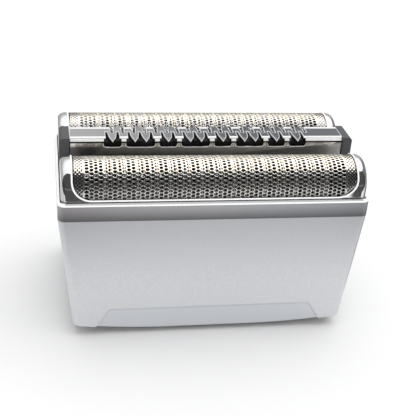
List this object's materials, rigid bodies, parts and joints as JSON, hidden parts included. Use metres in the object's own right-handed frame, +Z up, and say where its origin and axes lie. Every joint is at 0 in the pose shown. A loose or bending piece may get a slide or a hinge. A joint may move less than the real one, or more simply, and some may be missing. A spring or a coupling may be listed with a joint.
{
  "type": "shaver foil head",
  "caption": "Cassette head for an electric shaver: a tapered silver housing with arched perforated foils either side of a floating zigzag trimmer.",
  "frame": {"origin": "middle of the housing's footprint, on the plane it stands on", "axes": "+X along the foils, -Y to the side the picture shows, +Z up towards the foils"},
  "size_m": [0.058, 0.0336, 0.0338],
  "materials": {
    "silver_paint": "satin",
    "chrome": "polished",
    "foil_steel": "satin",
    "comb_steel": "matte",
    "guard_steel": "polished",
    "blade_steel": "ground",
    "spring_steel": "drawn",
    "dark_plastic": "matte",
    "grey_plastic": "matte"
  },
  "bodies": {
    "housing": {"housing_shell": "silver_paint", "chassis": "dark_plastic", "trimmer_spring_left": "spring_steel", "trimmer_spring_right": "spring_steel"},
    "front_foil_unit": {"front_foil_frame": "chrome", "front_foil": "foil_steel"},
    "rear_foil_unit": {"rear_foil_frame": "chrome", "rear_foil": "foil_steel"},
    "front_cutter": {"front_blade_carrier": "grey_plastic", "front_blades": "blade_steel"},
    "rear_cutter": {"rear_blade_carrier": "grey_plastic", "rear_blades": "blade_steel"},
    "front_drive": {"front_drive_bridge": "grey_plastic", "front_cutter_spring": "spring_steel"},
    "rear_drive": {"rear_drive_bridge": "grey_plastic", "rear_cutter_spring": "spring_steel"},
    "trimmer": {"trimmer_carrier": "dark_plastic", "trimmer_guard": "guard_steel", "trimmer_comb": "comb_steel"},
    "trimmer_cutter": {"trimmer_blade": "blade_steel", "trimmer_slider": "grey_plastic"}
  },
  "joints": [
    {"name": "front_foil_float", "type": "slide", "parent": "housing", "child": "front_foil_unit", "axis": [0, 0, 1], "range_m": [-0.002, 0], "stiffness_N_per_m": 300, "springref_m": 0.003, "deforming": ["front_cutter_spring"]},
    {"name": "rear_foil_float", "type": "slide", "parent": "housing", "child": "rear_foil_unit", "axis": [0, 0, 1], "range_m": [-0.002, 0], "stiffness_N_per_m": 300, "springref_m": 0.003, "deforming": ["rear_cutter_spring"]},
    {"name": "trimmer_float", "type": "slide", "parent": "housing", "child": "trimmer", "axis": [0, 0, 1], "range_m": [-0.002, 0], "stiffness_N_per_m": 300, "springref_m": 0.003, "deforming": ["trimmer_spring_left", "trimmer_spring_right"]},
    {"name": "front_drive_stroke", "type": "slide", "parent": "housing", "child": "front_drive", "axis": [1, 0, 0], "range_m": [-0.0012, 0.0012]},
    {"name": "rear_drive_stroke", "type": "slide", "parent": "housing", "child": "rear_drive", "axis": [1, 0, 0], "range_m": [-0.0012, 0.0012]},
    {"name": "front_cutter_stroke", "type": "slide", "parent": "front_foil_unit", "child": "front_cutter", "axis": [1, 0, 0], "range_m": [-0.0012, 0.0012]},
    {"name": "rear_cutter_stroke", "type": "slide", "parent": "rear_foil_unit", "child": "rear_cutter", "axis": [1, 0, 0], "range_m": [-0.0012, 0.0012]},
    {"name": "trimmer_blade_stroke", "type": "slide", "parent": "trimmer", "child": "trimmer_cutter", "axis": [1, 0, 0], "range_m": [-0.001, 0.001]}
  ],
  "couplings": [
    {"joint": "front_cutter_stroke", "follows": "front_drive_stroke", "ratio": 1},
    {"joint": "rear_cutter_stroke", "follows": "rear_drive_stroke", "ratio": 1}
  ]
}
